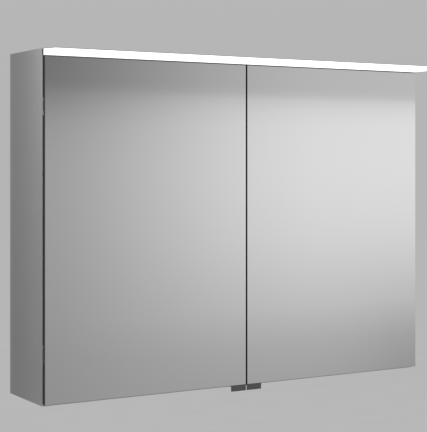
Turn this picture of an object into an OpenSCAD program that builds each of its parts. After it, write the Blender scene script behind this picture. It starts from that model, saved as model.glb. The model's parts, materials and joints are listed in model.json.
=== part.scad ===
// Wall-hung mirror cabinet: two mirror doors, glass shelves, a light across the top
// and a small power unit inside. X runs to the right, Y back to the wall, Z up.
// Pieces are drawn with the wall at Y = 0 and Z = 0 at the bottom of the carcass, then
// the model is lowered so that its origin is midway between the two wall screw holes.

/* [Overall] */
// Width across the side panels
cab_w = 900; // [700:1:1200]
// Height of the carcass
cab_h = 680; // [560:1:900]
// Depth from the wall to the face of the doors
cab_d = 176; // [145:1:220]

/* [Carcass] */
// Thickness of the side, top, bottom and centre panels
panel_t = 16; // [15:0.5:20]
// Thickness of the back panel
back_t = 4; // [3:0.5:6]
// Space between the back panel and the wall
wall_gap = 18; // [14:0.5:24]
// Depth of the groove that holds the back panel
groove_depth = 6; // [4:0.5:8]
// Play of the back panel in its groove
groove_play = 0.4; // [0.2:0.1:1]
// Height of the upper rail that the wall screws go through
hanging_rail_h = 70; // [60:1:90]
// Height of the lower rail that keeps the cabinet parallel to the wall
spacer_rail_h = 50; // [30:1:80]
// Radius of a wooden dowel
dowel_r = 4; // [3:0.5:5]
// Length of a wooden dowel
dowel_l = 30; // [24:1:36]
// Radius of a cam connector
cam_r = 7.5; // [6:0.5:8]
// Distance from a panel's end to the middle of its cam
cam_reach = 34; // [24:1:40]

/* [Wall fixing] */
// Distance from the cabinet's side to a wall screw
fix_inset = 100; // [60:1:140]
// Distance from the top of the cabinet to the wall screws
fix_drop = 40; // [30:1:60]
// Radius of a wall screw hole
fix_r = 3.5; // [2.5:0.1:5]
// Radius of the access hole in the back panel
access_r = 11; // [8:0.5:14]

/* [Doors] */
// Thickness of the front mirror
mirror_t = 4; // [3:0.5:5]
// Thickness of the dark core board
core_t = 4; // [3.5:0.5:6]
// Thickness of the inner mirror
inner_mirror_t = 3.5; // [3:0.5:4]
// Gap between the closed doors and the carcass
door_gap = 2.5; // [2:0.1:3]
// Gap between the two doors
centre_gap = 3.2; // [3:0.1:6]
// Height of the doors' lower edge above the bottom of the carcass
door_lift = 3.8; // [0:0.1:8]
// Gap between the doors and the light above them
door_head_gap = 1.3; // [1:0.1:4]

/* [Handles] */
// Width of a tab handle
handle_w = 34.5; // [20:0.5:60]
// How far a tab hangs below the door
handle_drop = 12.4; // [8:0.1:20]
// Thickness of a tab, front to back
handle_d = 3; // [2.5:0.5:11]
// Height of the flange behind the door
handle_flange_h = 18; // [12:1:30]
// Thickness of the flange behind the door
handle_flange_t = 1.2; // [0.8:0.1:1.4]

/* [Hinges] */
// Distance from a door's outer edge to its hinge axis
hinge_x = 3.5; // [3.4:0.1:4]
// Distance from the carcass front forward to the hinge axis
hinge_y = 5.5; // [5.4:0.1:6]
// Distance from a door's end to the middle of its hinge
hinge_inset = 96; // [70:1:130]
// Outer radius of the hinge knuckles
knuckle_r = 2.9; // [2.6:0.1:3]
// Height of the fixed knuckle
knuckle_h = 18; // [12:1:24]
// Height of each lug on the door
lug_h = 6; // [4:0.5:8]
// Gap between knuckle and lug
lug_gap = 0.3; // [0.2:0.1:0.6]
// Radius of the hinge pin
pin_r = 1.5; // [1.2:0.1:1.6]
// Radial running clearance of the pin in the lugs
pin_play = 0.05; // [0.02:0.01:0.1]
// Radius of the cup let into the door
cup_r = 17.5; // [13:0.5:20]
// Distance from the door's edge to the middle of the cup
cup_x = 26; // [24:0.5:32]
// Depth of the cup and of its pocket in the door
cup_depth = 6.4; // [5:0.1:7]
// Width of the pocket at the door's edge
pocket_w = 13; // [11:0.5:16]
// Clearance round the hinge inside its pocket
pocket_play = 0.5; // [0.4:0.1:1]
// Thickness of the hinge arm
arm_t = 2.5; // [2:0.1:3]
// Length of the hinge arm along the side panel
arm_l = 56; // [48:1:70]
// Height of the hinge arm
arm_h = 36; // [30:1:50]
// Radius of an arm screw's shaft
arm_screw_r = 1.75; // [1.5:0.05:2.2]

/* [Shelves] */
// Thickness of a glass shelf
shelf_t = 6; // [4:0.5:8]
// Height of the lower shelves' underside
lower_shelf_z = 228; // [180:1:260]
// Height of the upper shelves' underside
upper_shelf_z = 414; // [360:1:440]
// Distance of a shelf's front edge behind the carcass front
shelf_setback = 26; // [20:1:60]
// Radius of a shelf pin
shelf_pin_r = 2.5; // [2:0.1:3]
// Step between the holes for the shelf pins
pin_step = 32; // [25:1:40]

/* [Catches and bumpers] */
// Radius of a catch magnet
magnet_r = 2.4; // [2:0.1:2.5]
// How far a magnet stands out of the partition
magnet_out = 1.2; // [0.8:0.1:1.3]
// Thickness of a strike plate
strike_t = 0.8; // [0.5:0.1:0.9]
// Radius of a door bumper
bumper_r = 4; // [3:0.5:5]
// Gap left between a bumper and the door
bumper_gap = 0.4; // [0.3:0.1:0.6]

/* [Light] */
// Height of the light at its back
light_h = 13.6; // [12:0.1:15]
// How far the light stands out from the carcass
light_reach = 64; // [45:1:90]
// How much lower the front of the cover is than its back
light_drop = 3; // [0:0.1:5]
// Thickness of the metal cover
cover_t = 1.5; // [1:0.1:2]
// Depth of the aluminium profile behind the diffuser
profile_d = 7.6; // [6:0.1:10]
// Wall thickness of the aluminium profile
profile_wall = 1.6; // [1.2:0.1:2]
// Wall thickness of the diffuser
diffuser_t = 2; // [1.5:0.1:3]
// Height of the LED board
board_h = 7; // [5:0.5:8]
// Thickness of the LED board
board_t = 1.2; // [1:0.1:1.6]
// Distance between LEDs
led_step = 20; // [10:1:40]
// Radius of the light's wire
wire_r = 1.8; // [1.2:0.1:2]
// Width of the wire's groove in the top panel
wire_groove_w = 8; // [7:0.5:10]
// Depth of the wire's groove in the top panel
wire_groove_depth = 8; // [7:0.5:9]

/* [Power unit] */
// Width of the power box
box_w = 188; // [180:1:230]
// Height of the power box
box_h = 64; // [58:1:80]
// Depth of the power box
box_d = 46; // [42:1:60]
// Wall thickness of the power box
box_wall = 2.5; // [2:0.5:3]
// Thickness of the power box's front plate
plate_t = 3; // [2:0.5:4]
// Inner radius of the socket's recess
socket_r = 19.3; // [18:0.1:20]
// Depth of the socket's recess
socket_depth = 15; // [12:1:18]
// Width of the rocker
rocker_w = 21.8; // [16:0.2:24]
// Height of the rocker
rocker_h = 30; // [24:1:34]
// Angle of the rocker to each side of its middle
rocker_tilt = 6; // [3:0.5:8]
// Gap between the rocker and its frame
rocker_gap = 0.5; // [0.4:0.1:1]
// Radius of the rocker's axle
axle_r = 1.5; // [1:0.1:2]
// Radius of the opening for the mains cable
cable_r = 5.5; // [4:0.1:6]

/* [Hidden] */
$fn = 48;
e = 0.5;                                    // overshoot of cuts past a face
half_w = cab_w / 2;
in_x = half_w - panel_t;                    // inner face of a side panel
top_z = cab_h - panel_t;                    // underside of the top panel
fix_z = cab_h - fix_drop;
fix_x = half_w - fix_inset;
door_t = mirror_t + core_t + inner_mirror_t;
front_y = -(cab_d - door_t - door_gap);     // front edge of the carcass
door_back_y = front_y - door_gap;
door_face_y = -cab_d;
inner_mirror_y = door_back_y - inner_mirror_t;
core_y = inner_mirror_y - core_t;
light_z = cab_h - light_h;                  // underside of the light
door_top_z = light_z - door_head_gap;
back_y = -wall_gap;                         // rear face of the back panel
back_face_y = back_y - back_t;              // front face of the back panel
mid_z = [panel_t / 2, cab_h - panel_t / 2]; // mid planes of bottom and top panel
levels = [lower_shelf_z, upper_shelf_z];
dowel_y = [back_face_y - 16, front_y + 20];
cam_y = [back_face_y - 40, front_y + 42];
cam_h = panel_t * 0.8;
cam_bolt_r = 3.5;
cam_bolt_end = 6;                           // end of the cam's bolt in the side panel
hinge_zs = [door_lift + hinge_inset, door_top_z - hinge_inset];
hinge_h = knuckle_h + 2 * (lug_gap + lug_h);
axis_y = front_y - hinge_y;
web_r = 1.6;                                // half the thickness of the fixed web
neck_t = door_gap - 0.35;
arm_screw_ys = [16, arm_l - 12];
arm_screw_l = 12;
shelf_back_y = back_face_y - 2;
shelf_front_y = front_y + shelf_setback;
pin_rows = [shelf_back_y - 24, shelf_front_y + 24];
pin_collar_t = 1.2;
pin_in = 7.4;                               // length of a pin inside its hole
bay_x = panel_t / 2;                        // face of the centre partition
catch_zs = [84, door_top_z - 64];
catch_x = centre_gap / 2 + magnet_r + 0.4;
magnet_in = 12;
bumper_xs = [bay_x + 56, in_x - 34];
rail_screw_n = 5;
wire_x = bay_x + 160;
wire_y = back_face_y - 22;                  // where the wire comes up
wire_bend = 8;
wire_z = cab_h - wire_groove_depth + wire_r + 0.2;
box_x = bay_x + 2;
box_y = back_face_y - box_d;                // front of the box, back of its plate
box_z = top_z - box_h;
box_mid_z = box_z + box_h / 2;
plate_y = box_y - plate_t;
socket_x = box_x + 36;
cup_wall = 1.4;
switch_x = box_x + 104;
axle_y = plate_y + 1;
frame_wall = 1.8;
cable_x = box_x + 70;
cable_z = fix_z - 6;

white = [0.93, 0.93, 0.92];
steel = [0.7, 0.71, 0.73];
dark = [0.16, 0.16, 0.17];

// --- helpers ---

// Box between two opposite corners
module block(lo, hi) translate(lo) cube(hi - lo);

// Round bars along the three axes, from a start point
module bar_x(p, r, l) translate(p) rotate([0, 90, 0]) cylinder(r = r, h = l);
module bar_y(p, r, l) translate(p) rotate([-90, 0, 0]) cylinder(r = r, h = l);
module bar_z(p, r, l) translate(p) cylinder(r = r, h = l);

// Rectangle with round corners, centred
module round_rect(w, h, r) {
  square([w - 2 * r, h], center = true);
  square([w, h - 2 * r], center = true);
  for (x = [-1, 1], y = [-1, 1])
    translate([x * (w / 2 - r), y * (h / 2 - r)]) circle(r);
}

// A Y-Z outline drawn out along X
module along_x(x0, x1) translate([x0, 0, 0]) rotate([90, 0, 90]) linear_extrude(x1 - x0) children();

// An X-Z outline drawn out along Y, centred on x and z
module along_y(x, z, y0, y1)
  translate([x, y1, z]) rotate([90, 0, 0]) linear_extrude(y1 - y0) children();

// What is drawn for the left side, mirrored when right is true
module on_side(right) {
  if (right) mirror([1, 0, 0]) children();
  else children();
}

// Measured inwards from the left side's outer face
module from_left() translate([-half_w, 0, 0]) children();

// Puts the origin midway between the wall screw holes
module hung() translate([0, 0, -fix_z]) children();

// --- carcass ---

// Holes that take the pegs of the shelf pins, along X
module shelf_pin_holes(x, l)
  for (z = levels, step = [-1, 0, 1], y = pin_rows)
    bar_x([x, y, z - shelf_pin_r + step * pin_step], shelf_pin_r, l);

module side_panel(right) color(white) hung() on_side(right) from_left() difference() {
  block([0, front_y, 0], [panel_t, 0, cab_h]);
  block([panel_t - groove_depth, back_face_y, panel_t - groove_depth],
        [panel_t + e, back_y + groove_play, top_z + groove_depth]);
  shelf_pin_holes(panel_t - pin_in - 1.5, pin_in + 1.5 + e);
  for (z = mid_z) {
    for (y = dowel_y) bar_x([panel_t - dowel_l / 3, y, z], dowel_r, dowel_l);
    for (y = cam_y) bar_x([cam_bolt_end, y, z], cam_bolt_r, panel_t);
  }
  for (z = hinge_zs, y = arm_screw_ys)
    bar_x([panel_t + arm_t - arm_screw_l, front_y + y, z], arm_screw_r, arm_screw_l);
}

// What the cams, their bolts and the dowels take out of a panel's two ends
module end_joints(z, z_cam) for (s = [false, true]) on_side(s) from_left() {
  for (y = dowel_y) bar_x([panel_t - e, y, z], dowel_r, dowel_l * 2 / 3 + e);
  for (y = cam_y) {
    bar_x([panel_t - e, y, z], cam_bolt_r, cam_reach + e);
    bar_z([panel_t + cam_reach, y, z_cam], cam_r, cam_h);
  }
}

// Groove along a panel for the back panel, from z upwards
module back_groove(z)
  block([-in_x - e, back_face_y, z], [in_x + e, back_y + groove_play, z + groove_depth]);

module bottom_panel() color(white) hung() difference() {
  block([-in_x, front_y, 0], [in_x, 0, panel_t]);
  end_joints(mid_z[0], 0);
  back_groove(panel_t - groove_depth);
  for (y = dowel_y) bar_z([0, y, panel_t - dowel_l / 3], dowel_r, dowel_l);
}

module top_panel() color(white) hung() difference() {
  block([-in_x, front_y, top_z], [in_x, 0, cab_h]);
  end_joints(mid_z[1], cab_h - cam_h);
  back_groove(top_z);
  for (y = dowel_y) bar_z([0, y, top_z - e], dowel_r, dowel_l / 3 + e);
  wire_groove();
  wire_slot(top_z - e, cab_h + e);
  for (x = light_screw_x) bar_y([x, front_y - e, light_screw_z], light_screw_r, light_screw_l);
}

module centre_partition() color(white) hung() difference() {
  block([-bay_x, front_y, panel_t], [bay_x, back_face_y, top_z]);
  shelf_pin_holes(-bay_x - e, panel_t + 2 * e);
  for (y = dowel_y) {
    bar_z([0, y, panel_t - e], dowel_r, dowel_l * 2 / 3 + e);
    bar_z([0, y, top_z - dowel_l * 2 / 3], dowel_r, dowel_l);
  }
  for (x = [-catch_x, catch_x], z = catch_zs) bar_y([x, front_y - e, z], magnet_r, magnet_in + e);
}

module back_panel() color(white) hung() difference() {
  block([-in_x - groove_depth + groove_play, back_face_y, panel_t - groove_depth + groove_play],
        [in_x + groove_depth - groove_play, back_y, top_z + groove_depth - groove_play]);
  for (x = [-fix_x, fix_x]) bar_y([x, back_face_y - e, fix_z], access_r, back_t + 2 * e);
  bar_y([cable_x, back_face_y - e, cable_z], sleeve_r, back_t + 2 * e);
}
sleeve_r = cable_r + 2;

module hanging_rail() color("burlywood") hung() difference() {
  block([-in_x, back_y, top_z - hanging_rail_h], [in_x, 0, top_z]);
  for (x = [-fix_x, fix_x]) bar_y([x, back_y - e, fix_z], fix_r, wall_gap + 2 * e);
  bar_y([cable_x, back_y - e, cable_z], sleeve_r, wall_gap + 2 * e);
}

module spacer_rail() color("burlywood") hung()
  block([-in_x, back_y, panel_t], [in_x, 0, panel_t + spacer_rail_h]);

// Round cams in the top and bottom panel, each with the bolt that it pulls
module cam_connectors() color(steel) hung()
  for (s = [false, true], i = [0, 1], y = cam_y) on_side(s) from_left() {
    bar_x([cam_bolt_end, y, mid_z[i]], cam_bolt_r, panel_t - cam_bolt_end + cam_reach);
    difference() {
      bar_z([panel_t + cam_reach, y, i * (cab_h - cam_h)], cam_r, cam_h);
      // cross slot in the cam's outer face
      for (a = [0, 90]) translate([panel_t + cam_reach, y, i * cab_h])
        rotate([0, 0, a]) cube([cam_r * 1.2, 1.6, 3], center = true);
    }
  }

module dowels() color("tan") hung() {
  for (s = [false, true], z = mid_z, y = dowel_y)
    on_side(s) from_left() bar_x([panel_t - dowel_l / 3, y, z], dowel_r, dowel_l);
  for (y = dowel_y) {
    bar_z([0, y, panel_t - dowel_l / 3], dowel_r, dowel_l);
    bar_z([0, y, top_z - dowel_l * 2 / 3], dowel_r, dowel_l);
  }
}

// Thin caps over the access holes, each with a ring that clips into the hole
module screw_caps() color(white) hung() for (x = [-fix_x, fix_x]) difference() {
  union() {
    bar_y([x, back_face_y - 1.6, fix_z], access_r + 2, 1.6);
    bar_y([x, back_face_y - 1.6, fix_z], access_r, back_t + 1.6);
  }
  bar_y([x, back_face_y, fix_z], access_r - 1.5, back_t + e);
}

// --- shelves ---

module shelf(right, level) color([0.75, 0.88, 0.84, 0.4]) hung() on_side(right)
  block([-in_x + pin_collar_t + 0.3, shelf_front_y, levels[level]],
        [-bay_x - pin_collar_t - 0.3, shelf_back_y, levels[level] + shelf_t]);

// A pin: peg in the panel, collar against its face, and the part that carries the shelf
module shelf_pin() {
  bar_x([-pin_in, 0, 0], shelf_pin_r, pin_in + pin_collar_t + 8);
  bar_x([0, 0, 0], shelf_pin_r + 1.5, pin_collar_t);
}

module shelf_pins() color(steel) hung()
  for (s = [false, true], z = levels, y = pin_rows) on_side(s) {
    translate([-in_x, y, z - shelf_pin_r]) shelf_pin();
    translate([-bay_x, y, z - shelf_pin_r]) mirror([1, 0, 0]) shelf_pin();
  }

// --- catches and bumpers ---

module door_bumpers() color([0.85, 0.85, 0.85, 0.6]) hung()
  for (s = [-1, 1], x = bumper_xs)
    bar_y([s * x, front_y - door_gap + bumper_gap, panel_t / 2 + 2], bumper_r, door_gap - bumper_gap);

module catch_magnets() color(steel) hung()
  for (x = [-catch_x, catch_x], z = catch_zs)
    bar_y([x, front_y - magnet_out, z], magnet_r, magnet_in + magnet_out);

module strike_plates(right) color(steel) hung() on_side(right) for (z = catch_zs)
  along_y(-centre_gap / 2 - 9, z, door_back_y, door_back_y + strike_t) round_rect(16, 26, 3);

// --- hinges ---

// Fixed arm: knuckle at the axis, neck through the door gap, plate on the side panel
module hinge_arm(right, i) color(steel) hung() on_side(right) from_left()
  translate([0, front_y, hinge_zs[i]]) difference() {
    union() {
      bar_z([hinge_x, -hinge_y, -knuckle_h / 2], knuckle_r, knuckle_h);
      block([hinge_x - web_r, -hinge_y, -knuckle_h / 2], [hinge_x + web_r, 0, knuckle_h / 2]);
      block([hinge_x - web_r, -neck_t, -knuckle_h / 2], [panel_t + arm_t, 0, knuckle_h / 2]);
      block([panel_t, -neck_t, -knuckle_h / 2], [panel_t + arm_t, arm_l / 2, knuckle_h / 2]);
      translate([panel_t, arm_l / 2 + 2, 0]) rotate([90, 0, 90])
        linear_extrude(arm_t) round_rect(arm_l - 4, arm_h, 5);
      // raised rib between the two screws
      translate([panel_t + arm_t, (arm_screw_ys[0] + arm_screw_ys[1]) / 2, 0])
        rotate([90, 0, 90]) linear_extrude(4) round_rect(arm_screw_ys[1] - arm_screw_ys[0] - 12, 12, 3);
    }
    bar_z([hinge_x, -hinge_y, -knuckle_h / 2 - e], pin_r, knuckle_h + 2 * e);
    for (y = arm_screw_ys) bar_x([panel_t - e, y, 0], arm_screw_r, arm_t + 2 * e);
  }

// Pins, pressed into the fixed knuckles and running in the lugs
module hinge_pins() color("silver") hung()
  for (s = [false, true], z = hinge_zs) on_side(s) from_left() {
    bar_z([hinge_x, axis_y, z - hinge_h / 2 - 0.5], pin_r, hinge_h + 1);
    for (k = [-1, 1]) translate([hinge_x, axis_y, z + k * (hinge_h / 2 + 0.7)])
      cylinder(r = pin_r + 0.6, h = 0.6, center = true);
  }

module hinge_screws() color("silver") hung()
  for (s = [false, true], z = hinge_zs, y = arm_screw_ys) on_side(s) from_left() difference() {
    union() {
      bar_x([panel_t + arm_t - arm_screw_l, front_y + y, z], arm_screw_r, arm_screw_l + 0.5);
      bar_x([panel_t + arm_t, front_y + y, z], arm_screw_r * 2, 1.8);
    }
    for (a = [0, 90]) translate([panel_t + arm_t + 1.8, front_y + y, z])
      rotate([a, 0, 0]) cube([1.8, arm_screw_r * 2.4, 0.8], center = true);
  }

// Space for the moving half of a hinge in the back of a door
module hinge_pocket(z) {
  h = hinge_h / 2 + 1 + pocket_play;
  block([-e, door_back_y - cup_depth, z - h], [pocket_w, door_back_y + e, z + h]);
  bar_y([cup_x, door_back_y - cup_depth, z], cup_r, cup_depth + e);
}

// Places of the two clamp screws of a hinge wing
wing_screw_zs = [-11.5, 11.5];
wing_screw_r = 2.2;

// Moving half: two lugs round the pin, a block in the pocket and the round cup
module hinge_wing(right, i) color(steel) hung() on_side(right) from_left()
  translate([0, 0, hinge_zs[i]]) difference() {
    union() {
      for (k = [0, 1]) mirror([0, 0, k]) {
        bar_z([hinge_x, axis_y, hinge_h / 2 - lug_h], knuckle_r, lug_h);
        block([hinge_x, axis_y - knuckle_r, hinge_h / 2 - lug_h],
              [pocket_w - 1, axis_y + knuckle_r, hinge_h / 2]);
      }
      block([hinge_x + knuckle_r + 1, door_back_y - cup_depth, -hinge_h / 2],
            [pocket_w, door_back_y, hinge_h / 2]);
      bar_y([cup_x, door_back_y - cup_depth, 0], cup_r, cup_depth);
    }
    bar_z([hinge_x, axis_y, -hinge_h], pin_r + pin_play, 2 * hinge_h);
    // shallow dish in the cup
    bar_y([cup_x, door_back_y - 2.4, 0], cup_r * 0.42, 2.4 + e);
    for (z = wing_screw_zs) bar_y([cup_x, door_back_y - 4, z], wing_screw_r, 4 + e);
  }

module wing_screws(right) color("silver") hung() on_side(right) from_left()
  for (z = hinge_zs, dz = wing_screw_zs) difference() {
    bar_y([cup_x, door_back_y - 4, z + dz], wing_screw_r, 3.6);
    for (a = [0, 90]) translate([cup_x, door_back_y - 0.4, z + dz])
      rotate([0, a, 0]) cube([3, 1.6, 0.7], center = true);
  }

// --- doors ---

// One layer of a door between two Y planes
module door_layer(y0, y1)
  block([-half_w, y0, door_lift], [-centre_gap / 2, y1, door_top_z]);

module mirror_glass(right) color("lightsteelblue") hung() on_side(right)
  door_layer(door_face_y, core_y);

module door_core(right) color(dark) hung() on_side(right) difference() {
  door_layer(core_y, inner_mirror_y);
  from_left() for (z = hinge_zs) hinge_pocket(z);
}

module inner_mirror(right) color("lightsteelblue") hung() on_side(right) difference() {
  door_layer(inner_mirror_y, door_back_y);
  from_left() for (z = hinge_zs) hinge_pocket(z);
}

// Tab under the door's inner corner, with a flange that runs up behind the door
module handle(right) color([0.4, 0.4, 0.42]) hung() on_side(right)
  along_x(-centre_gap / 2 - handle_w, -centre_gap / 2) {
    r = 1;
    tab_y = door_face_y + handle_d;
    flange_y = door_back_y + handle_flange_t;
    // tab with round lower edges
    translate([door_face_y + r, door_lift - handle_drop]) square([handle_d - 2 * r, handle_drop]);
    translate([door_face_y, door_lift - handle_drop + r]) square([handle_d, handle_drop - r]);
    for (y = [door_face_y + r, tab_y - r]) translate([y, door_lift - handle_drop + r]) circle(r);
    translate([door_face_y + r, door_lift - 2.5]) square([flange_y - door_face_y - r, 2.5]);
    translate([door_back_y, door_lift - 2.5]) square([handle_flange_t, handle_flange_h + 2.5]);
  }

// --- light ---

// Height of the cover's top face at depth y
function cover_z(y) = cab_h - (front_y - y) * light_drop / light_reach;
light_face_y = front_y - light_reach;
profile_y = front_y - profile_d;            // front face of the profile
light_screw_r = 1.6;
light_screw_l = 16;
light_screw_z = (light_z + cab_h - cover_t) / 2;
light_screw_x = [for (i = [0 : rail_screw_n - 1]) (i / (rail_screw_n - 1) - 0.5) * (cab_w - 100)];
wire_hole_r = wire_r + 0.5;

// Outline of the light under its cover, between two depths and drawn in by w
module light_outline(y0, y1, w) polygon([
  [y0 - w, light_z + w], [y1 + w, light_z + w],
  [y1 + w, cover_z(y1 + w) - cover_t - w], [y0 - w, cover_z(y0 - w) - cover_t - w]]);

module light_profile() color("silver") hung() difference() {
  along_x(-half_w, half_w) difference() {
    light_outline(front_y, profile_y, 0);
    light_outline(front_y, profile_y, profile_wall);
  }
  for (x = light_screw_x) {
    bar_y([x, front_y - profile_wall - e, light_screw_z], light_screw_r, profile_wall + 2 * e);
    bar_y([x, profile_y - e, light_screw_z], light_screw_r * 2, profile_wall + 2 * e);
  }
  bar_y([wire_x, profile_y - e, wire_z], wire_hole_r, profile_d + 2 * e);
}

module light_cover() color("silver") hung() along_x(-half_w, half_w) polygon([
  [front_y, cab_h], [light_face_y, cover_z(light_face_y)],
  [light_face_y, cover_z(light_face_y) - cover_t], [front_y, cab_h - cover_t]]);

// Opal tray: underside, front and both ends, open at the top and back
module light_diffuser() color([1, 1, 0.97]) hung() difference() {
  along_x(-half_w, half_w) light_outline(profile_y, light_face_y, 0);
  along_x(-half_w + diffuser_t, half_w - diffuser_t) polygon([
    [profile_y + e, light_z + diffuser_t], [light_face_y + diffuser_t, light_z + diffuser_t],
    [light_face_y + diffuser_t, cab_h], [profile_y + e, cab_h]]);
}

module led_board() color("white") hung()
  block([-half_w + 6, profile_y - board_t, light_z + diffuser_t + 0.4],
        [half_w - 6, profile_y, light_z + diffuser_t + 0.4 + board_h]);

module leds() color("gold") hung()
  for (x = [-half_w + 20 : led_step : half_w - 20])
    block([x - 1.4, profile_y - board_t - 1, light_z + diffuser_t + 2.4],
          [x + 1.4, profile_y - board_t, light_z + diffuser_t + 5.2]);

module light_screws() color("silver") hung() for (x = light_screw_x) {
  bar_y([x, front_y - profile_wall, light_screw_z], light_screw_r, light_screw_l);
  bar_y([x, front_y - profile_wall - 1.6, light_screw_z], light_screw_r * 1.8, 1.6);
}

// Groove along the top panel and the slot where the wire comes up into it
module wire_groove()
  block([wire_x - wire_groove_w / 2, front_y - e, cab_h - wire_groove_depth],
        [wire_x + wire_groove_w / 2, wire_y + 4, cab_h + e]);
module wire_slot(z0, z1)
  block([wire_x - 3, wire_y - wire_bend - 3, z0], [wire_x + 3, wire_y + 3, z1]);

// Wire from the driver up through the top panel and forward to the LED board
module led_wire() color("dimgray") hung() {
  bar_z([wire_x, wire_y, driver_top_z], wire_r, wire_z - wire_bend - driver_top_z);
  translate([wire_x, wire_y - wire_bend, wire_z - wire_bend]) rotate([0, -90, 0])
    rotate_extrude(angle = 90) translate([wire_bend, 0]) circle(wire_r);
  bar_y([wire_x, profile_y, wire_z], wire_r, wire_y - wire_bend - profile_y);
}

// Strip that closes the wire's groove: a flat top on two thin legs
module wire_cover() color(white) hung() difference() {
  block([wire_x - wire_groove_w / 2, front_y, cab_h - wire_groove_depth],
        [wire_x + wire_groove_w / 2, wire_y + 4, cab_h]);
  block([wire_x - wire_groove_w / 2 + 1, front_y - e, cab_h - wire_groove_depth - e],
        [wire_x + wire_groove_w / 2 - 1, wire_y + 3, cab_h - 1.2]);
}

// --- power unit ---

module power_box() color(white) hung() difference() {
  block([box_x, box_y, box_z], [box_x + box_w, back_face_y, top_z]);
  block([box_x + box_wall, box_y - e, box_z + box_wall],
        [box_x + box_w - box_wall, back_face_y - box_wall, top_z - box_wall]);
  bar_y([cable_x, back_face_y - box_wall - e, cable_z], sleeve_r, box_wall + 2 * e);
  wire_slot(top_z - box_wall - e, top_z + e);
}

// Front plate with a lip that clips inside the box
module power_plate() color(white) hung() difference() {
  union() {
    along_y(box_x + box_w / 2, box_mid_z, plate_y, box_y) round_rect(box_w, box_h, 3);
    difference() {
      block([box_x + box_wall, box_y - e, box_z + box_wall],
            [box_x + box_w - box_wall, box_y + 4, top_z - box_wall]);
      block([box_x + box_wall + 1.5, box_y - 2 * e, box_z + box_wall + 1.5],
            [box_x + box_w - box_wall - 1.5, box_y + 5, top_z - box_wall - 1.5]);
    }
  }
  bar_y([socket_x, plate_y - e, box_mid_z], socket_r + cup_wall, plate_t + 2 * e);
  block([switch_x - frame_x, plate_y - e, box_mid_z - frame_z],
        [switch_x + frame_x, box_y + e, box_mid_z + frame_z]);
}
frame_x = rocker_w / 2 + rocker_gap + frame_wall;       // outer half width of the frame's sleeve
frame_z = rocker_h / 2 + rocker_gap + 1 + frame_wall;   // outer half height of the sleeve
axle_half = frame_x - 0.4;                              // half the length of the rocker's axle
pin_hole_r = 2.5;
socket_floor_y = plate_y - 2 + socket_depth;

// Round recess with two contact holes, its rim in front of the plate
module socket_insert() color(white) hung() difference() {
  union() {
    bar_y([socket_x, plate_y - 2, box_mid_z], socket_r + cup_wall + 2.5, 2);
    bar_y([socket_x, plate_y - 2, box_mid_z], socket_r + cup_wall, socket_depth + 3);
    bar_y([socket_x, socket_floor_y, box_mid_z], 15, 14);
  }
  bar_y([socket_x, plate_y - 2 - e, box_mid_z], socket_r, socket_depth + e);
  for (x = [-9.5, 9.5]) bar_y([socket_x + x, socket_floor_y - e, box_mid_z], pin_hole_r, 12);
}

// Spring contacts at the top and bottom of the recess
module earth_clips() color("goldenrod") hung() for (k = [-1, 1])
  block([socket_x - 2.5, socket_floor_y - 11, box_mid_z + k * (socket_r - 1.3) - 0.6],
        [socket_x + 2.5, socket_floor_y, box_mid_z + k * (socket_r - 1.3) + 0.6]);

module switch_frame() color(white) hung() difference() {
  union() {
    along_y(switch_x, box_mid_z, plate_y - 2, plate_y) round_rect(frame_x * 2 + 8, frame_z * 2 + 8, 3);
    block([switch_x - frame_x, plate_y - e, box_mid_z - frame_z],
          [switch_x + frame_x, plate_y + 10, box_mid_z + frame_z]);
  }
  block([switch_x - frame_x + frame_wall, plate_y - 3, box_mid_z - frame_z + frame_wall],
        [switch_x + frame_x - frame_wall, plate_y + 11, box_mid_z + frame_z - frame_wall]);
  bar_x([switch_x - frame_x - e, axle_y, box_mid_z], axle_r + pin_play, 2 * frame_x + 2 * e);
}

// Rocker, drawn with its upper half pressed in, on a round axle
module rocker() color("whitesmoke") hung() translate([switch_x, axle_y, box_mid_z])
  rotate([-rocker_tilt, 0, 0]) {
    h = rocker_h / 2;
    rise = h * tan(rocker_tilt);
    along_x(-rocker_w / 2, rocker_w / 2) polygon([
      [-5, 0], [-5 - rise, h], [-1, h], [3, h * 0.4], [3, -h * 0.4], [-1, -h], [-5 - rise, -h]]);
    bar_x([-axle_half, 0, 0], axle_r, 2 * axle_half);
  }

driver_top_z = box_z + box_wall + 30;

module led_driver() color("gainsboro") hung()
  translate([wire_x, (box_y + 6 + back_face_y - box_wall) / 2, box_z + box_wall])
    linear_extrude(30) round_rect(34, back_face_y - box_wall - box_y - 6, 2);

// Plastic sleeve from the wall side through rail, back panel and box
module cable_sleeve() color(dark) hung() difference() {
  bar_y([cable_x, back_face_y - box_wall, cable_z], sleeve_r, back_t + wall_gap + box_wall);
  bar_y([cable_x, back_face_y - box_wall - e, cable_z], cable_r, back_t + wall_gap + box_wall + 2 * e);
}

side_panel(false);  // left_side_panel
side_panel(true);  // right_side_panel
top_panel();
bottom_panel();
centre_partition();
back_panel();
hanging_rail();
spacer_rail();
cam_connectors();
dowels();
screw_caps();
shelf(false, 0);  // left_lower_shelf
shelf(false, 1);  // left_upper_shelf
shelf(true, 0);  // right_lower_shelf
shelf(true, 1);  // right_upper_shelf
shelf_pins();
door_bumpers();
catch_magnets();
hinge_arm(false, 0);  // left_lower_hinge_arm
hinge_arm(false, 1);  // left_upper_hinge_arm
hinge_arm(true, 0);  // right_lower_hinge_arm
hinge_arm(true, 1);  // right_upper_hinge_arm
hinge_pins();
hinge_screws();
light_profile();
light_cover();
light_diffuser();
led_board();
leds();
light_screws();
led_wire();
wire_cover();
power_box();
power_plate();
socket_insert();
earth_clips();
switch_frame();
rocker();
led_driver();
cable_sleeve();
mirror_glass(false);  // left_mirror
door_core(false);  // left_core
inner_mirror(false);  // left_inner_mirror
handle(false);  // left_handle
strike_plates(false);  // left_strike_plates
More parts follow.
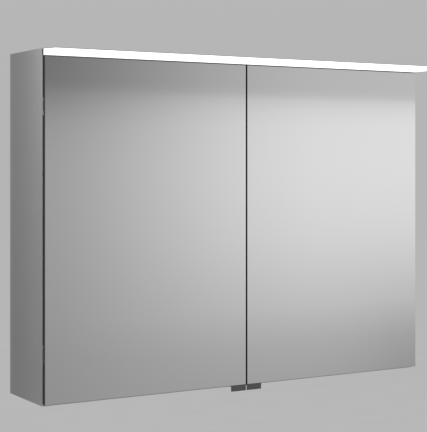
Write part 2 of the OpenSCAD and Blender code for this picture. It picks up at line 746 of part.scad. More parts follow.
hinge_wing(false, 0);  // left_lower_hinge_wing
hinge_wing(false, 1);  // left_upper_hinge_wing
wing_screws(false);  // left_wing_screws
mirror_glass(true);  // right_mirror
door_core(true);  // right_core
inner_mirror(true);  // right_inner_mirror
handle(true);  // right_handle
strike_plates(true);  // right_strike_plates
hinge_wing(true, 0);  // right_lower_hinge_wing
hinge_wing(true, 1);  // right_upper_hinge_wing
wing_screws(true);  // right_wing_screws
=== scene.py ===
# %% [markdown]
# # A mirror cabinet for a bathroom wall
# This lesson dresses a wall-hung cabinet: two mirror doors, a slim light across the top,
# glass shelves, hinges and a small power unit inside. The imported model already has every
# part at its true size and place, so nothing is moved here. We give each part the edges
# and the finish that the real one has, and we light it the way a studio would.

# %% Load the frame
import json
from math import radians

import bmesh
import bpy
from mathutils import Matrix, Vector


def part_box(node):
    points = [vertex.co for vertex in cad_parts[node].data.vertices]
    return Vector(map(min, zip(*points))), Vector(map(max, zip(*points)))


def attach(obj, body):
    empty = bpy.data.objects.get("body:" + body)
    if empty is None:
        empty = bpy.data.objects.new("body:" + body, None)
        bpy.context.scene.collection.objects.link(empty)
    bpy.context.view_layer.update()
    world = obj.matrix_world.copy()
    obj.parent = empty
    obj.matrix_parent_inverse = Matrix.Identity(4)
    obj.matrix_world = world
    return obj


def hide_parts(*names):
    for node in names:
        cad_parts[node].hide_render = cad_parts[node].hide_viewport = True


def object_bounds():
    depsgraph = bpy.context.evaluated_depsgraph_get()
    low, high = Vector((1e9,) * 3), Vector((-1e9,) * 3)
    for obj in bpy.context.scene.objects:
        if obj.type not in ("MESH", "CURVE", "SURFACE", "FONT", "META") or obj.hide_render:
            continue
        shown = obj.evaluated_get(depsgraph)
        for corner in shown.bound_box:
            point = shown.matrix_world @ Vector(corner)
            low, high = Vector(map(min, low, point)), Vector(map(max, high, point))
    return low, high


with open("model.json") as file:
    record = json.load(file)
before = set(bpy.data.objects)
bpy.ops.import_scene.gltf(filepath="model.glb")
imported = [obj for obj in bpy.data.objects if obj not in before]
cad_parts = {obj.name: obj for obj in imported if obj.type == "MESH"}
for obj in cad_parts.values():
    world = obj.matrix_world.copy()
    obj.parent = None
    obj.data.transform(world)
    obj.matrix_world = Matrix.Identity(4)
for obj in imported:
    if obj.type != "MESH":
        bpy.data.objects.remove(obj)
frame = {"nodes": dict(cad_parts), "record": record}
nodes = frame["nodes"]
cad_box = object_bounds()

# %% Sizes that come from the frame
MM = 0.001
low, high = cad_box
face_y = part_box("left_mirror")[0].y
print("cabinet is", [round(v, 3) for v in high - low], "m, door face at", round(face_y, 3))

# %% [markdown]
# ## The camera
# The picture is taken from the left of the cabinet and a little above its middle, with a
# long lens held level, so upright edges stay upright. A level camera would put the cabinet
# too low in the picture, so the lens is shifted down instead of tilting the camera: that
# is what an architect's shift lens does, and it keeps the verticals parallel.

# %% Camera
SENSOR = 36.0  # width in mm
LENS = 104.85  # mm
LENS_SHIFT = -0.1241  # as a share of the sensor's width
CAMERA_LEFT = 0.9426  # metres left of the cabinet's left side
CAMERA_AWAY = 2.2015  # metres in front of the doors
CAMERA_HEIGHT = -0.177  # metres, a little below the wall screws
CAMERA_TURN = -30.81  # degrees, to the right
VIEW_DEPTH = 60  # metres
camera_data = bpy.data.cameras.new("camera")
camera_data.sensor_width = SENSOR
camera_data.lens = LENS
camera_data.shift_y = LENS_SHIFT
camera_data.clip_end = VIEW_DEPTH
camera = bpy.data.objects.new("camera", camera_data)
camera.location = (low.x - CAMERA_LEFT, face_y - CAMERA_AWAY, CAMERA_HEIGHT)
camera.rotation_euler = (radians(90), 0, radians(CAMERA_TURN))
bpy.context.scene.collection.objects.link(camera)
bpy.context.scene.camera = camera
print("camera at", [round(v, 3) for v in camera.location])

# %% [markdown]
# ## Studio
# A mirror shows the room, so for a mirror the room is half of the picture. The world is a
# plain pale grey that gets lighter towards the ceiling. The floor is a wide pale disc far
# below the cabinet, as it would be under a cabinet that hangs on a wall. Its far edge has
# about the same brightness as the world behind it, so no hard horizon crosses the picture.

# %% World
scene = bpy.context.scene
scene.view_settings.view_transform = "Standard"
HORIZON, CEILING = 0.46, 0.62  # grey at eye level and overhead
CEILING_FROM = 0.8  # how far up the ceiling grey is reached, 1 is straight up
world = bpy.data.worlds.new("studio")
world.use_nodes = True
scene.world = world
sky = world.node_tree
direction = sky.nodes.new("ShaderNodeTexCoord")
split = sky.nodes.new("ShaderNodeSeparateXYZ")
ramp = sky.nodes.new("ShaderNodeValToRGB")
ramp.color_ramp.interpolation = "EASE"
ramp.color_ramp.elements[0].position = 0.0
ramp.color_ramp.elements[0].color = (HORIZON, HORIZON, HORIZON, 1)
ramp.color_ramp.elements[1].position = CEILING_FROM
ramp.color_ramp.elements[1].color = (CEILING, CEILING, CEILING, 1)
sky.links.new(direction.outputs["Generated"], split.inputs[0])
sky.links.new(split.outputs["Z"], ramp.inputs[0])
sky.links.new(ramp.outputs[0], sky.nodes["Background"].inputs["Color"])
print("world runs from grey", HORIZON, "at eye level to", CEILING, "overhead")


# %% Small helpers for shaders
def finish(name, colour, roughness, metallic=0.0):
    """A new material with its constant values on the shader's own sockets."""
    material = bpy.data.materials.new(name)
    material.use_nodes = True
    shader = material.node_tree.nodes["Principled BSDF"]
    shader.inputs["Base Color"].default_value = (*colour, 1)
    shader.inputs["Roughness"].default_value = roughness
    shader.inputs["Metallic"].default_value = metallic
    return material, material.node_tree, shader


def cloud(tree, scale, stretch=(1, 1, 1), detail=3.0):
    """Noise on the piece's own coordinates, in metres. Stretch pulls it out into streaks."""
    place = tree.nodes.new("ShaderNodeTexCoord")
    mapping = tree.nodes.new("ShaderNodeMapping")
    mapping.inputs["Scale"].default_value = stretch
    noise = tree.nodes.new("ShaderNodeTexNoise")
    noise.inputs["Scale"].default_value = scale
    noise.inputs["Detail"].default_value = detail
    tree.links.new(place.outputs["Object"], mapping.inputs["Vector"])
    tree.links.new(mapping.outputs["Vector"], noise.inputs["Vector"])
    return noise.outputs["Fac"]


def blend_colours(tree, factor, dark, light, low=0.35, high=0.65):
    """A colour that runs from dark to light as the factor goes from low to high."""
    ramp = tree.nodes.new("ShaderNodeValToRGB")
    ramp.color_ramp.elements[0].position = low
    ramp.color_ramp.elements[0].color = (*dark, 1)
    ramp.color_ramp.elements[1].position = high
    ramp.color_ramp.elements[1].color = (*light, 1)
    tree.links.new(factor, ramp.inputs[0])
    return ramp.outputs[0]


print("shader helpers ready: finish, cloud, blend_colours")

# %% [markdown]
# ## Floor and lamps
# One large lamp to the front right lights the cabinet softly, and a faint one fills in
# from the left. The side panel gets a narrow upright strip lamp close to its front edge.
# Light from so near fades over a hand's width, so the panel runs from light at the doors to
# darker at the wall, as it does beside a lit door. A large lamp far away would light it
# flat. None of them shows in the mirrors: what they show comes in a later step.


# %% Floor
def floor_material():
    material, tree, shader = finish("pale floor", (0.78, 0.78, 0.78), 0.8)
    speckle = cloud(tree, 5.0, detail=4)
    tree.links.new(blend_colours(tree, speckle, (0.775,) * 3, (0.79,) * 3),
                   shader.inputs["Base Color"])
    return material


FLOOR_Z = -1.9  # metres, below the wall screws
FLOOR_R = 26.0  # metres
FLOOR_SIDES = 96
bm = bmesh.new()
bmesh.ops.create_circle(bm, cap_ends=True, segments=FLOOR_SIDES, radius=FLOOR_R)
bmesh.ops.translate(bm, verts=bm.verts, vec=(0, 0, FLOOR_Z))
floor_mesh = bpy.data.meshes.new("floor")
bm.to_mesh(floor_mesh)
bm.free()
floor = bpy.data.objects.new("floor", floor_mesh)
floor_mesh.materials.append(floor_material())
scene.collection.objects.link(floor)
print("floor is", 2 * FLOOR_R, "m across, at", FLOOR_Z, "m")


# %% Lamps
def soft_lamp(name, place, target, width, height, power):
    """A rectangular lamp, in watts, that looks at a point and shows in no mirror or view."""
    data = bpy.data.lights.new(name, "AREA")
    data.shape = "RECTANGLE"
    data.size, data.size_y, data.energy = width, height, power
    lamp = bpy.data.objects.new(name, data)
    lamp.location = place
    lamp.rotation_euler = (Vector(target) - Vector(place)).to_track_quat("-Z", "Y").to_euler()
    lamp.visible_camera = lamp.visible_glossy = False
    scene.collection.objects.link(lamp)


middle = (low + high) / 2
side_edge = Vector((low.x, face_y, -0.3))
beside_edge = side_edge + Vector((-0.12, -0.16, 0.1))
soft_lamp("key", (1.6, -3.4, 1.4), middle, width=2.4, height=1.8, power=40)
soft_lamp("left_fill", (-2.6, -2.4, 0.9), middle, width=1.6, height=1.6, power=0.5)
soft_lamp("side_strip", beside_edge, side_edge, width=0.1, height=0.9, power=0.27)

# %% [markdown]
# ## Flags
# In a bathroom the wall behind the cabinet takes away half of the light that would reach
# its side, most of all near the wall. Without a wall the side looks flat. Photographers
# hang a flag, a piece of black cloth, where they want less light. One flag here stands in
# for the strip of wall next to the cabinet, and one lies below it and keeps the light of
# the floor from the lower part. The camera and the mirrors don't see them.


# %% Flags
def flag(name, centre, width, height, turn):
    """A black cloth, width by height, drawn flat and then turned."""
    bm = bmesh.new()
    bmesh.ops.create_grid(bm, x_segments=1, y_segments=1, size=0.5)
    bmesh.ops.scale(bm, verts=bm.verts, vec=(width, height, 1))
    bmesh.ops.rotate(bm, verts=bm.verts, matrix=Matrix.Rotation(radians(turn), 3, "X"))
    bmesh.ops.translate(bm, verts=bm.verts, vec=centre)
    mesh = bpy.data.meshes.new(name)
    bm.to_mesh(mesh)
    bm.free()
    mesh.materials.append(black_cloth)
    cloth = bpy.data.objects.new(name, mesh)
    cloth.visible_camera = cloth.visible_glossy = False
    scene.collection.objects.link(cloth)


black_cloth = finish("black cloth", (0.01, 0.01, 0.01), 0.9)[0]
flag("wall_flag", (low.x - 0.135, 0.004, -0.3), width=0.25, height=2.2, turn=90)
flag("low_flag", (low.x - 0.75, -0.35, -0.70), width=1.4, height=1.8, turn=0)
print("flags hung to the left and below")

# %% [markdown]
# ## Screen for the mirrors
# A mirror needs something to look at. Here it is a tall screen of soft light that stands
# in front of the cabinet, to the right, where the doors send the eye. It could be a plain
# white card with a lamp on it, but then the falloff would depend on the lamp. A screen
# whose own light follows two simple curves, one across and one upwards, is easier to tune:
# dim on the left and at the top, brightest at eye height on the right. Its edges fade out,
# so a mirror that is seen from another side shows no hard border. The camera doesn't see
# the screen, and it throws no light on the cabinet.


# %% Screen helpers
def grey_curve(tree, value, stops):
    """A grey that follows (value, grey) stops. The value is a length in metres."""
    start, end = stops[0][0], stops[-1][0]
    span = tree.nodes.new("ShaderNodeMapRange")
    span.inputs["From Min"].default_value = start
    span.inputs["From Max"].default_value = end
    tree.links.new(value, span.inputs["Value"])
    ramp = tree.nodes.new("ShaderNodeValToRGB")
    ramp.color_ramp.interpolation = "B_SPLINE"
    points = ramp.color_ramp.elements
    while len(points) < len(stops):
        points.new(0.5)
    for point, (place, grey) in zip(points, stops):
        point.position = (place - start) / (end - start)
        point.color = (grey, grey, grey, 1)
    tree.links.new(span.outputs[0], ramp.inputs[0])
    return ramp.outputs[0]


def mix_colours(tree, mode, factor, first, second):
    """Mixes two colours; factor may be a number or another node's output."""
    mix = tree.nodes.new("ShaderNodeMix")
    mix.data_type, mix.blend_type = "RGBA", mode
    if isinstance(factor, float):
        mix.inputs["Factor"].default_value = factor
    else:
        tree.links.new(factor, mix.inputs["Factor"])
    for value, socket in ((first, mix.inputs[6]), (second, mix.inputs[7])):
        if isinstance(value, tuple):
            socket.default_value = (*value, 1)
        else:
            tree.links.new(value, socket)
    return mix.outputs[2]


print("screen helpers ready: grey_curve, mix_colours")


# %% Screen light
def screen_material():
    """Light that grows from left to right, is dimmer at the foot and fades at the top."""
    material = bpy.data.materials.new("screen light")
    material.use_nodes = True
    tree = material.node_tree
    tree.nodes.remove(tree.nodes["Principled BSDF"])
    place = tree.nodes.new("ShaderNodeTexCoord")
    axes = tree.nodes.new("ShaderNodeSeparateXYZ")
    tree.links.new(place.outputs["Object"], axes.inputs[0])
    x, z = axes.outputs["X"], axes.outputs["Z"]
    level = mix_colours(tree, "MIX", grey_curve(tree, z, SCREEN_RISE),
                        grey_curve(tree, x, SCREEN_FOOT), grey_curve(tree, x, SCREEN_ACROSS))
    dim = mix_colours(tree, "MIX", grey_curve(tree, x, SCREEN_SIDE),
                      grey_curve(tree, z, SCREEN_TOP_LEFT), grey_curve(tree, z, SCREEN_TOP_RIGHT))
    glow = tree.nodes.new("ShaderNodeEmission")
    tree.links.new(mix_colours(tree, "MULTIPLY", 1.0, level, dim), glow.inputs["Color"])
    clear = tree.nodes.new("ShaderNodeBsdfTransparent")
    soft_edge = tree.nodes.new("ShaderNodeMixShader")
    fade = mix_colours(tree, "MULTIPLY", 1.0, grey_curve(tree, x, FADE_X),
                       grey_curve(tree, z, FADE_Z))
    tree.links.new(fade, soft_edge.inputs["Fac"])
    tree.links.new(clear.outputs[0], soft_edge.inputs[1])
    tree.links.new(glow.outputs[0], soft_edge.inputs[2])
    tree.links.new(soft_edge.outputs[0], tree.nodes["Material Output"].inputs["Surface"])
    return material


# Each stop is a place in metres, across or up, and the grey there.
SCREEN_ACROSS = [(0.3, 0.28), (0.9, 0.39), (1.3, 0.52), (1.8, 0.71), (2.3, 0.80), (3.6, 0.84)]
SCREEN_FOOT = [(0.3, 0.25), (0.8, 0.30), (1.2, 0.33), (1.7, 0.35), (2.4, 0.36), (2.8, 0.31),
               (3.6, 0.20)]
SCREEN_RISE = [(-1.4, 0.0), (-1.1, 0.18), (-0.9, 0.46), (-0.55, 0.86), (-0.15, 1.0), (0.6, 1.0)]
SCREEN_SIDE = [(0.3, 0.0), (0.7, 0.1), (1.7, 0.9), (3.6, 1.0)]
SCREEN_TOP_LEFT = [(-0.5, 1.0), (-0.2, 1.0), (-0.03, 0.89), (0.05, 0.74), (0.12, 0.59),
                   (0.2, 0.45), (0.6, 0.38)]
SCREEN_TOP_RIGHT = [(-0.5, 1.0), (0.0, 1.0), (0.07, 0.96), (0.13, 0.86), (0.16, 0.70),
                    (0.2, 0.66), (0.6, 0.66)]
FADE_X = [(-0.4, 0.0), (-0.3, 0.0), (0.25, 1.0), (0.4, 1.0), (3.7, 1.0), (3.9, 1.0),
          (4.5, 0.0), (4.6, 0.0)]
FADE_Z = [(-1.9, 0.0), (-1.85, 0.0), (-1.55, 1.0), (-1.4, 1.0), (0.3, 1.0), (0.5, 1.0),
          (1.1, 0.0), (1.2, 0.0)]
screen_light = screen_material()
print("the screen's light is made of", len(screen_light.node_tree.nodes), "nodes")

# %% Screen
SCREEN_DISTANCE = 3.0  # metres in front of the doors
left, right = FADE_X[0][0], FADE_X[-1][0]
bottom, top = FADE_Z[0][0], FADE_Z[-1][0]
bm = bmesh.new()
bmesh.ops.create_grid(bm, x_segments=1, y_segments=1, size=0.5)
bmesh.ops.rotate(bm, verts=bm.verts, matrix=Matrix.Rotation(radians(90), 3, "X"))
bmesh.ops.scale(bm, verts=bm.verts, vec=(right - left, 1, top - bottom))
screen_centre = ((left + right) / 2, face_y - SCREEN_DISTANCE, (bottom + top) / 2)
bmesh.ops.translate(bm, verts=bm.verts, vec=screen_centre)
screen_mesh = bpy.data.meshes.new("screen")
bm.to_mesh(screen_mesh)
bm.free()
screen_mesh.materials.append(screen_light)
screen = bpy.data.objects.new("screen", screen_mesh)
screen.visible_camera = screen.visible_diffuse = screen.visible_shadow = False
scene.collection.objects.link(screen)
print("screen is", round(right - left, 2), "by", round(top - bottom, 2), "m")

# %% [markdown]
# ## How the parts get their edges
# No real board, sheet or casting has a perfectly sharp edge: it is eased by a fraction of
# a millimetre, and that edge is what catches the light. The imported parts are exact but
# sharp, and their meshes are loose triangles. So each part that shows gets a finished
# twin. We join the triangles, dissolve the flat ones into whole faces, bevel what is still
# sharp, and let the twin stand for the part. A bevel modifier would do the same, but it
# would bevel the seams between the loose triangles too.

# %% Pieces from parts
record = frame["record"]
body_of = {name: body for body, names in record["behaviour"]["bodies"].items() for name in names}
made = []


def add_piece(name, bm, node, *materials, sharp=40):
    """Turns a bmesh into a piece that stands for a CAD part and moves with its body."""
    mesh = bpy.data.meshes.new(name)
    bm.to_mesh(mesh)
    bm.free()
    for material in materials:
        mesh.materials.append(material)
    for face in mesh.polygons:
        face.use_smooth = True
    mesh.set_sharp_from_angle(angle=radians(sharp))
    piece = bpy.data.objects.new(name, mesh)
    scene.collection.objects.link(piece)
    piece.modifiers.new("flat faces stay flat", "WEIGHTED_NORMAL").keep_sharp = True
    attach(piece, body_of[node])
    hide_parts(node)
    made.append(name)
    return piece


def plain(node, material):
    """A CAD part that keeps its own mesh and only gets its finish."""
    nodes[node].data.materials.clear()
    nodes[node].data.materials.append(material)


# %% Eased edges
JOIN_WITHIN = 0.002 * MM
FLAT_WITHIN = radians(0.4)


def joined_copy(node):
    """A bmesh of a CAD part with its corners joined and its flat faces whole."""
    bm = bmesh.new()
    bm.from_mesh(nodes[node].data)
    bmesh.ops.remove_doubles(bm, verts=bm.verts, dist=JOIN_WITHIN)
    bmesh.ops.dissolve_limit(bm, angle_limit=FLAT_WITHIN, verts=bm.verts, edges=bm.edges)
    return bm


def sharp_edges(bm, angle):
    """The edges where two faces meet at more than the angle, in degrees."""
    return [e for e in bm.edges if len(e.link_faces) == 2 and e.calc_face_angle() > radians(angle)]


def eased(node, material, width, segments=2):
    """The finished twin of a CAD part, its sharp edges bevelled by a width in millimetres."""
    bm = joined_copy(node)
    edges = sharp_edges(bm, angle=35)
    bmesh.ops.bevel(bm, geom=edges, offset=width * MM, offset_type="OFFSET", affect="EDGES",
                    segments=segments, profile=0.5, clamp_overlap=True, material=-1)
    return add_piece(node + "_finished", bm, node, material)


print("corners within", JOIN_WITHIN, "m are joined")

# %% [markdown]
# ## Lacquered panels
# The carcass is board with a satin pale grey lacquer. Sprayed lacquer isn't perfectly
# even: it has a faint orange peel a millimetre or so across, and its gloss wanders a
# little. Both are small, so both come from noise at a true scale, in metres.


# %% Helpers for gloss and relief
NOISE_SPAN = (0.3, 0.7)  # nearly all of a noise lies between these


def spread(tree, factor, to_low, to_high):
    """The same factor as a plain number between two values, for roughness."""
    ranged = tree.nodes.new("ShaderNodeMapRange")
    ranged.inputs["From Min"].default_value, ranged.inputs["From Max"].default_value = NOISE_SPAN
    ranged.inputs["To Min"].default_value = to_low
    ranged.inputs["To Max"].default_value = to_high
    tree.links.new(factor, ranged.inputs["Value"])
    return ranged.outputs[0]


def relief(tree, shader, height, depth, strength=1.0):
    """Fine relief: depth is in metres."""
    bump = tree.nodes.new("ShaderNodeBump")
    bump.inputs["Strength"].default_value = strength
    bump.inputs["Distance"].default_value = depth
    tree.links.new(height, bump.inputs["Height"])
    tree.links.new(bump.outputs["Normal"], shader.inputs["Normal"])


print("helpers for gloss and relief ready: spread, relief")


# %% Lacquer
PANEL_GREY = (0.60, 0.60, 0.60)
PANELS = ("left_side_panel", "right_side_panel", "top_panel", "bottom_panel", "centre_partition")


def lacquer():
    material, tree, shader = finish("satin lacquer", PANEL_GREY, 0.4)
    broad = cloud(tree, 9.0, detail=2)
    tree.links.new(blend_colours(tree, broad, tuple(0.975 * c for c in PANEL_GREY), PANEL_GREY),
                   shader.inputs["Base Color"])
    tree.links.new(spread(tree, cloud(tree, 60.0), 0.36, 0.44), shader.inputs["Roughness"])
    relief(tree, shader, cloud(tree, 650.0, detail=1), 0.03 * MM, 0.35)
    return material


panel_lacquer = lacquer()
for node in PANELS:
    eased(node, panel_lacquer, 0.5)
plain("back_panel", panel_lacquer)
print("panels:", made)

# %% [markdown]
# ## Mirrors
# A mirror is a sheet of float glass with silver on its back. From the front it can be one
# surface: a metal with no roughness to speak of, as wide as the glass. What gives it away
# as glass is its edge. The rim is ground to a narrow slope that shows as a thin dark
# line, and the cut edge itself is darker still, because it looks into the glass. Along the
# top of a front pane the dark rim is cut wider, and that band is painted shade: it stands
# for the shadow in the gap under the light. So each pane has four finishes: silver, dark
# rim, cut edge, and the grey paint that seals its back. The front panes are plain blocks.
# The inner ones have cut-outs for the hinges, so they start from a copy of the imported part.


# %% Silver
def silver_finish(name, tint):
    """Silver behind glass, with the faint unevenness of float glass."""
    material, tree, shader = finish(name, tint, 0.006, metallic=1.0)
    tree.links.new(spread(tree, cloud(tree, 3.0), 0.004, 0.012), shader.inputs["Roughness"])
    relief(tree, shader, cloud(tree, 2.2, stretch=(1, 1, 0.5), detail=0), 0.02 * MM, 0.5)
    return material


silver = silver_finish("mirror silver", (0.90, 0.90, 0.90))
print("made", silver.name)


# %% Dark finishes of a mirror
def dark_edge(name, colour, roughness):
    """The rim of mirror glass, its cut edge or its sealing paint; a widened top rim is painted
    shade.
    """
    material, tree, shader = finish(name, colour, roughness)
    streaks = cloud(tree, 30.0, stretch=(1, 40, 1))
    tree.links.new(blend_colours(tree, streaks, tuple(0.6 * c for c in colour), colour),
                   shader.inputs["Base Color"])
    tree.links.new(spread(tree, streaks, roughness * 0.8, roughness * 1.3),
                   shader.inputs["Roughness"])
    return material


# The dark rim finish is also painted shade: widened along the top of a front mirror, it stands for
# the shadow under the light.
ground_rim_and_shade = dark_edge("ground rim and painted top shade", (0.055, 0.062, 0.060), 0.35)
glass_rim = dark_edge("glass rim", (0.020, 0.026, 0.024), 0.4)
mirror_paint = dark_edge("mirror back paint", (0.10, 0.10, 0.11), 0.6)
MIRROR_FINISHES = (silver, ground_rim_and_shade, glass_rim, mirror_paint)
FACE, RIM_AND_SHADE, CUT, BACK = range(len(MIRROR_FINISHES))
print("a mirror has", [material.name for material in MIRROR_FINISHES])


# %% Front mirrors
def block(node):
    """A bmesh block as large as a CAD part, and in its place."""
    lo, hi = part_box(node)
    bm = bmesh.new()
    bmesh.ops.create_cube(bm, size=1.0)
    bmesh.ops.scale(bm, verts=bm.verts, vec=hi - lo)
    bmesh.ops.translate(bm, verts=bm.verts, vec=(lo + hi) / 2)
    return bm


def pane(node, name, rim_width, top_shade_width):
    """A front mirror: a block whose face has a dark rim, in mm, wider along the top as painted
    shade.
    """
    bm = block(node)
    front = min(bm.faces, key=lambda f: f.calc_center_median().y)
    back = max(bm.faces, key=lambda f: f.calc_center_median().y)
    for face in bm.faces:
        face.material_index = CUT
    front.material_index, back.material_index = FACE, BACK
    # The band along the top is cut wider than the rest: it is painted shade for the gap under the
    # light.
    for along_top, width in ((False, rim_width), (True, top_shade_width)):
        bm.normal_update()
        front = max((f for f in bm.faces if f.normal.y < -0.99), key=lambda f: f.calc_area())
        upper = max(front.edges, key=lambda e: (e.verts[0].co + e.verts[1].co).z)
        edges = [e for e in front.edges if (e == upper) == along_top]
        ground = bmesh.ops.bevel(bm, geom=edges, offset=width * MM, offset_type="OFFSET",
                                 affect="EDGES", segments=1, profile=0.5, material=-1)["faces"]
        for face in ground:
            face.material_index = RIM_AND_SHADE
    add_piece(name, bm, node, *MIRROR_FINISHES, sharp=10)


print("helpers for front mirrors ready: block, pane")


# %% Inner mirrors, and all four panes
def cut_pane(node, name, rim_width):
    """An inner mirror: the part's outline with its hinge cut-outs, silver towards the shelves."""
    bm = joined_copy(node)
    for face in bm.faces:
        towards = face.normal.y
        face.material_index = FACE if towards > 0.9 else BACK if towards < -0.9 else CUT
    ground = bmesh.ops.bevel(bm, geom=sharp_edges(bm, angle=60), offset=rim_width * MM,
                             offset_type="OFFSET", affect="EDGES", segments=1, profile=0.5,
                             clamp_overlap=True, material=-1)["faces"]
    for face in ground:
        face.material_index = RIM_AND_SHADE
    add_piece(name, bm, node, *MIRROR_FINISHES, sharp=30)


for side in ("left", "right"):
    # The wider top band of each front mirror is painted shade for the shadow in the gap under the
    # light.
    pane(side + "_mirror", side + "_door_glass", rim_width=0.4, top_shade_width=1.4)
    cut_pane(side + "_inner_mirror", side + "_inner_glass", rim_width=0.3)
print("mirrors:", made[-4:])

# %% [markdown]
# ## Door cores
# Between its two mirrors a door has a dark core board. Only its edge shows, as the black
# line down the side of the cabinet. Its finish is a matt black plastic with a faint
# grain, and no shine that would break the line.


# %% Core board
def core_board():
    material, tree, shader = finish("core board", (0.010, 0.010, 0.011), 0.7)
    shader.inputs["Specular IOR Level"].default_value = 0.3
    grain = cloud(tree, 900.0, detail=2)
    tree.links.new(blend_colours(tree, grain, (0.009,) * 3, (0.016,) * 3),
                   shader.inputs["Base Color"])
    relief(tree, shader, grain, 0.02 * MM, 0.4)
    return material


core_black = core_board()
for side in ("left", "right"):
    eased(side + "_core", core_black, 0.25)
print("cores:", made[-2:])

# %% [markdown]
# ## Metals
# All the metal here is drawn, rolled or brushed, so its fine scratches run one way. That
# is noise stretched out along one axis until it turns into streaks, used for both the
# roughness and a very shallow relief. The same function makes the dark tab handles, the
# aluminium of the light, the black nickel of the hinges and the nickel of the small parts.
# The hinges are black because their knuckles show in the gap beside each door, and a
# bright one would break the dark line there.


# %% Brushed metal
SCRATCH_DEPTH = 0.01 * MM


def brushed(name, colour, roughness, along="X"):
    """Metal with streaks along one axis."""
    material, tree, shader = finish(name, colour, roughness, metallic=1.0)
    stretch = {"X": (0.02, 1, 1), "Y": (1, 0.02, 1), "Z": (1, 1, 0.02)}[along]
    streaks = cloud(tree, 1600.0, stretch=stretch, detail=2)
    tree.links.new(spread(tree, streaks, roughness * 0.85, roughness * 1.2),
                   shader.inputs["Roughness"])
    tree.links.new(blend_colours(tree, streaks, tuple(0.9 * c for c in colour), colour),
                   shader.inputs["Base Color"])
    relief(tree, shader, streaks, SCRATCH_DEPTH, 0.3)
    return material


handle_metal = brushed("handle metal", (0.17, 0.17, 0.175), 0.38)
aluminium = brushed("satin aluminium", (0.68, 0.68, 0.69), 0.34)
anodised = brushed("dark anodised aluminium", (0.22, 0.22, 0.23), 0.42)
nickel = brushed("satin nickel", (0.60, 0.59, 0.58), 0.28, along="Z")
black_nickel = brushed("black nickel", (0.10, 0.10, 0.105), 0.36, along="Z")
zinc = brushed("zinc", (0.52, 0.53, 0.55), 0.42, along="Y")
brass = brushed("contact brass", (0.74, 0.56, 0.27), 0.3, along="Z")
metals = (handle_metal, aluminium, anodised, nickel, black_nickel, zinc, brass)
print("metals:", [metal.name for metal in metals])

# %% Handles, hinges and small hardware
for side in ("left", "right"):
    eased(side + "_handle", handle_metal, 0.4, segments=3)
    plain(side + "_wing_screws", nickel)
    eased(side + "_strike_plates", nickel, 0.15)
    for level in ("lower", "upper"):
        eased(side + "_" + level + "_hinge_arm", black_nickel, 0.3)
        eased(side + "_" + level + "_hinge_wing", black_nickel, 0.25)
for node in ("hinge_pins", "hinge_screws", "light_screws", "shelf_pins"):
    plain(node, nickel)
plain("cam_connectors", zinc)
plain("catch_magnets", zinc)
plain("earth_clips", brass)
print("handles and hinges:", made[-12:])

# %% [markdown]
# ## The light
# The light is a flat box of opal acrylic under a thin aluminium cover. Its LEDs sit at the
# back and the acrylic spreads their light, so the front, the underside and the ends all
# glow evenly. It could be lit with real lamps inside, but a glowing material is steadier
# and has no noise. The mirrors would show a second bright band right under the light. So
# the pieces of the light are kept out of reflections, and the dark gap above the doors
# stays readable.


# %% Opal acrylic
GLOW = 1.25


def opal_acrylic():
    material, tree, shader = finish("opal acrylic", (0.92, 0.92, 0.91), 0.35)
    shader.inputs["Emission Strength"].default_value = GLOW
    haze = cloud(tree, 14.0, detail=2)
    tree.links.new(blend_colours(tree, haze, (0.985, 0.98, 0.97), (1.0, 1.0, 0.995)),
                   shader.inputs["Emission Color"])
    return material


light_pieces = [
    eased("light_diffuser", opal_acrylic(), 0.6, segments=3),
    eased("light_cover", aluminium, 0.3),
    eased("light_profile", anodised, 0.2),
]
print("light:", [piece.name for piece in light_pieces])


# %% LED board
def led_finishes():
    """White solder mask and yellow phosphor."""
    board, tree, shader = finish("board mask", (0.82, 0.82, 0.80), 0.45)
    tree.links.new(blend_colours(tree, cloud(tree, 120.0), (0.78, 0.78, 0.76), (0.84, 0.84, 0.82)),
                   shader.inputs["Base Color"])
    phosphor, tree, shader = finish("phosphor", (0.86, 0.76, 0.30), 0.5)
    tree.links.new(blend_colours(tree, cloud(tree, 900.0), (0.80, 0.68, 0.24), (0.90, 0.80, 0.36)),
                   shader.inputs["Base Color"])
    return board, phosphor


board_mask, phosphor = led_finishes()
plain("led_board", board_mask)
plain("leds", phosphor)
for piece in light_pieces + [nodes["led_board"], nodes["leds"], nodes["light_screws"]]:
    piece.visible_glossy = False
print("board and LEDs finished as", board_mask.name, "and", phosphor.name)

# %% [markdown]
# ## Glass shelves
# Each shelf is 6 mm float glass with polished edges. Looked through from the front it is
# almost clear, but along the edge the light has crossed the whole sheet, so the edge is
# green. The block gets two finishes: clear glass for the faces, green for the edges.


# %% Shelf finishes
def shelf_finishes():
    clear, tree, shader = finish("clear glass", (0.95, 0.985, 0.97), 0.01)
    shader.inputs["Transmission Weight"].default_value = 1.0
    shader.inputs["IOR"].default_value = 1.5
    tree.links.new(spread(tree, cloud(tree, 5.0), 0.004, 0.02), shader.inputs["Roughness"])
    edge, tree, shader = finish("green glass edge", (0.30, 0.55, 0.46), 0.12)
    shader.inputs["Transmission Weight"].default_value = 0.5
    tree.links.new(blend_colours(tree, cloud(tree, 25.0, stretch=(1, 1, 30)), (0.24, 0.48, 0.40),
                                 (0.36, 0.62, 0.52)), shader.inputs["Base Color"])
    return clear, edge


clear_glass, green_edge = shelf_finishes()
print("shelves have", clear_glass.name, "and", green_edge.name)


# %% Shelves
def glass_shelf(node):
    """A glass block, clear on its two faces and green on its edges, which are polished round."""
    bm = block(node)
    bm.normal_update()
    for face in bm.faces:
        face.material_index = 0 if abs(face.normal.z) > 0.9 else 1
    polished = bmesh.ops.bevel(bm, geom=list(bm.edges), offset=0.6 * MM, offset_type="OFFSET",
                               affect="EDGES", segments=2, profile=0.5, material=-1)["faces"]
    for face in polished:
        face.material_index = 1
    add_piece(node + "_glass", bm, node, clear_glass, green_edge, sharp=60)


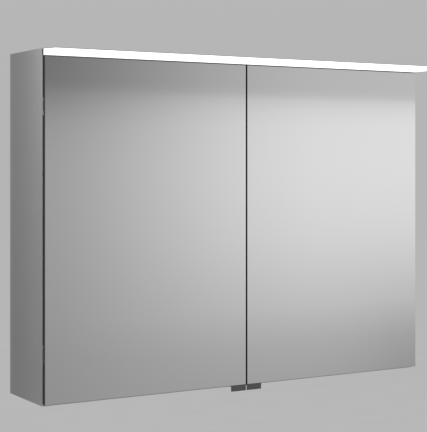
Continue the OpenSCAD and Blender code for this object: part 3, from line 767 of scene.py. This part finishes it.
for side in ("left", "right"):
    for level in ("lower", "upper"):
        glass_shelf(side + "_" + level + "_shelf")
print("shelves:", made[-4:])

# %% [markdown]
# ## Power unit and small plastic parts
# The box inside the right half holds the light's driver, a socket and the switch. It is
# moulded plastic: the box and plate have a fine spark-eroded grain, the socket and the
# rocker are smooth and glossier. Both finishes come from one function with a different
# grain.


# %% Moulded plastic
def moulded(name, colour, roughness, grain, depth):
    """Plastic with a grain of the given scale; depth is in millimetres."""
    material, tree, shader = finish(name, colour, roughness)
    texture = cloud(tree, grain, detail=2)
    tree.links.new(blend_colours(tree, texture, tuple(0.97 * c for c in colour), colour),
                   shader.inputs["Base Color"])
    tree.links.new(spread(tree, texture, roughness * 0.9, roughness * 1.1),
                   shader.inputs["Roughness"])
    relief(tree, shader, texture, depth * MM, 0.4)
    return material


matt_white = moulded("matt white plastic", (0.80, 0.80, 0.79), 0.5, 1400.0, 0.03)
smooth_white = moulded("smooth white plastic", (0.84, 0.84, 0.83), 0.22, 40.0, 0.01)
rocker_white = moulded("rocker plastic", (0.86, 0.86, 0.85), 0.25, 60.0, 0.01)
black_sheath = moulded("black sheath", (0.03, 0.03, 0.032), 0.5, 900.0, 0.02)
bumper_rubber = moulded("bumper rubber", (0.62, 0.62, 0.62), 0.35, 500.0, 0.02)
plastics = (matt_white, smooth_white, rocker_white, black_sheath, bumper_rubber)
print("plastics:", [plastic.name for plastic in plastics])

# %% Power unit and small parts
for node, width in (("power_box", 0.8), ("power_plate", 0.6), ("switch_frame", 0.4),
                    ("screw_caps", 0.4)):
    eased(node, matt_white, width)
eased("socket_insert", smooth_white, 0.4)
eased("rocker", rocker_white, 0.6, segments=3)
eased("led_driver", matt_white, 0.6)
eased("wire_cover", matt_white, 0.2)
eased("door_bumpers", bumper_rubber, 0.5, segments=3)
plain("led_wire", black_sheath)
plain("cable_sleeve", black_sheath)
print("plastic parts:", made[-9:])

# %% [markdown]
# ## Rails and dowels
# The two rails behind the back panel are plain softwood. Its grain is a wave pattern
# along the length of the rail, bent by noise, with fine pores over it.


# %% Softwood
def softwood():
    material, tree, shader = finish("softwood", (0.60, 0.44, 0.27), 0.6)
    place = tree.nodes.new("ShaderNodeTexCoord")
    mapping = tree.nodes.new("ShaderNodeMapping")
    mapping.inputs["Scale"].default_value = (0.06, 1.0, 1.0)
    rings = tree.nodes.new("ShaderNodeTexWave")
    rings.wave_type, rings.bands_direction = "BANDS", "Z"
    rings.inputs["Scale"].default_value = 55.0
    rings.inputs["Distortion"].default_value = 6.0
    rings.inputs["Detail"].default_value = 3.0
    tree.links.new(place.outputs["Object"], mapping.inputs["Vector"])
    tree.links.new(mapping.outputs["Vector"], rings.inputs["Vector"])
    grain = blend_colours(tree, rings.outputs["Fac"], (0.47, 0.31, 0.17), (0.66, 0.50, 0.32),
                          low=0.1, high=0.9)
    tree.links.new(grain, shader.inputs["Base Color"])
    relief(tree, shader, cloud(tree, 700.0, stretch=(0.05, 1, 1)), 0.05 * MM, 0.5)
    return material


wood = softwood()
eased("hanging_rail", wood, 0.8)
eased("spacer_rail", wood, 0.8)
plain("dowels", wood)
print("pieces made:", len(made))
